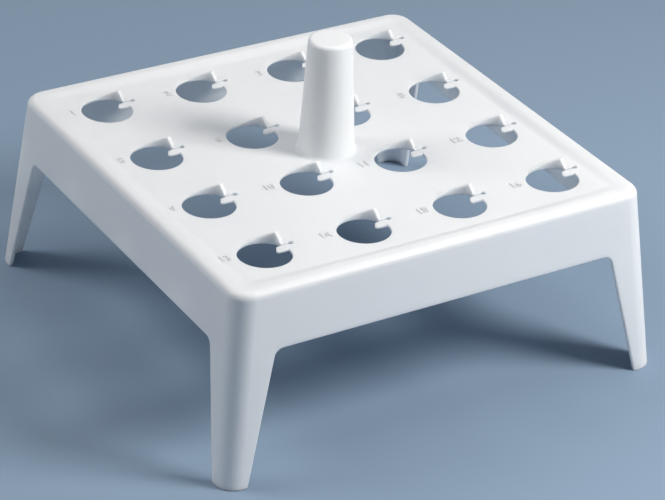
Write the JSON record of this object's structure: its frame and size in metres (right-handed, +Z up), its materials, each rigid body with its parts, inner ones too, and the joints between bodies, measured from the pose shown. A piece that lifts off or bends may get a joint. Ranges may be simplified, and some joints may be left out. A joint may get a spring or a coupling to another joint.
{
  "type": "microcentrifuge tube rack",
  "caption": "Square white plastic rack on four leaning corner legs, with a grid of round tube holes in a sunken plate and a tapered post in the middle to lift it by.",
  "frame": {"origin": "on the table plane, under the middle of the post and of the grid of holes", "axes": "+Z up, along the post; +X and +Y along the two rows of holes, square to the walls"},
  "size_m": [0.1042, 0.1042, 0.0654],
  "materials": {
    "rack": "satin white moulded polypropylene"
  },
  "bodies": {
    "root": {"rack": "rack"}
  },
  "joints": []
}
